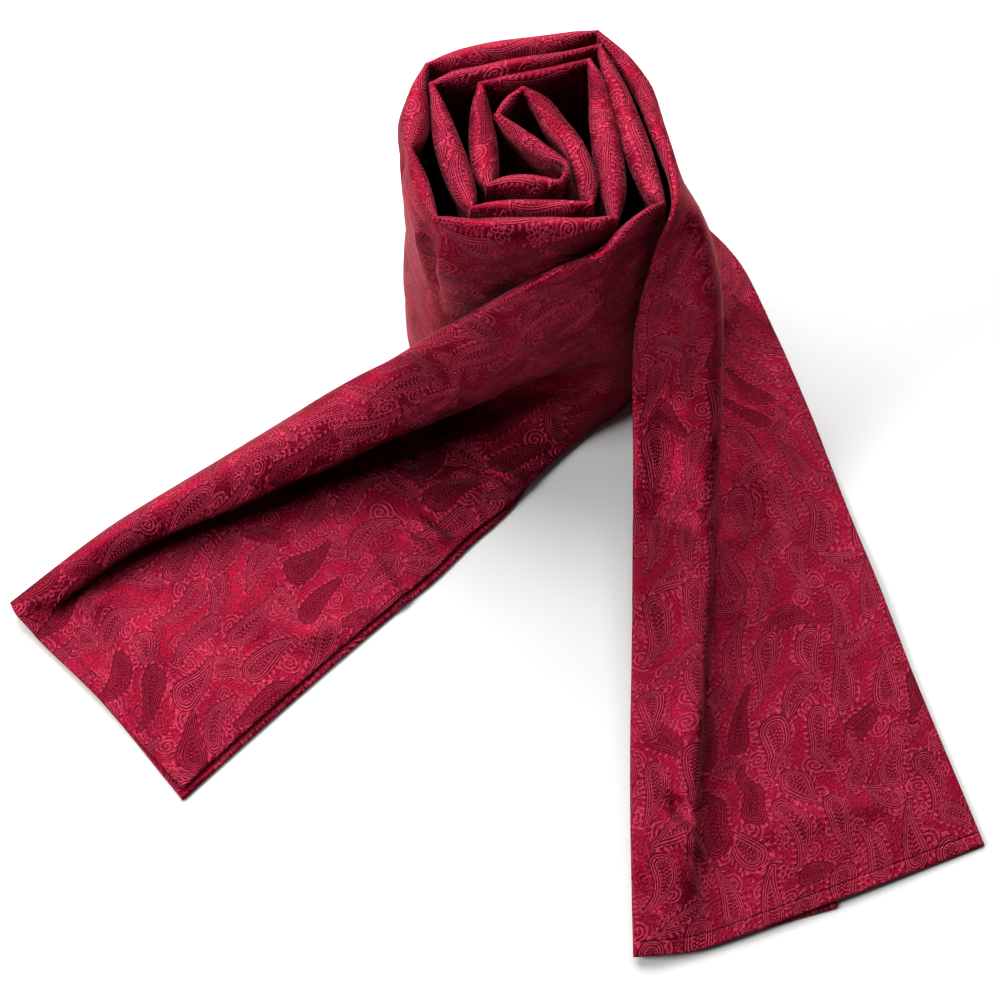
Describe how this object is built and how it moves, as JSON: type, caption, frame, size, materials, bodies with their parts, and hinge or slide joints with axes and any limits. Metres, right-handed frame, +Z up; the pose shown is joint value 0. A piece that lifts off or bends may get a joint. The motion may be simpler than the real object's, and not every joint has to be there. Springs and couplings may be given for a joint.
{
  "type": "silk scarf",
  "caption": "Long silk jacquard scarf folded lengthwise, wound double into a standing coil, with both ends laid out in front as tails.",
  "frame": {"origin": "middle of the bounding box's underside, on the surface that the scarf lies on", "axes": "+X to the right tail's side, along the part's width; +Y away from the viewer, towards the coil; +Z up"},
  "size_m": [0.401, 0.3664, 0.14],
  "materials": {
    "silk": "satin"
  },
  "bodies": {
    "root": {"wind_outer_right": "silk", "wind_outer_back": "silk", "wind_outer_left_back": "silk", "wind_outer_left_front": "silk", "wind_outer_front": "silk", "wind_middle_right": "silk", "wind_middle_back": "silk", "wind_middle_left": "silk", "wind_inner_front": "silk", "wind_inner_hook": "silk", "wind_inner_diagonal": "silk", "wind_heart": "silk", "wind_second_inner_right": "silk", "wind_second_front": "silk", "wind_second_left": "silk", "wind_second_back": "silk", "wind_second_right": "silk", "tail_right_top": "silk", "tail_right_under": "silk", "tail_left_top": "silk", "tail_left_under": "silk"}
  },
  "joints": []
}
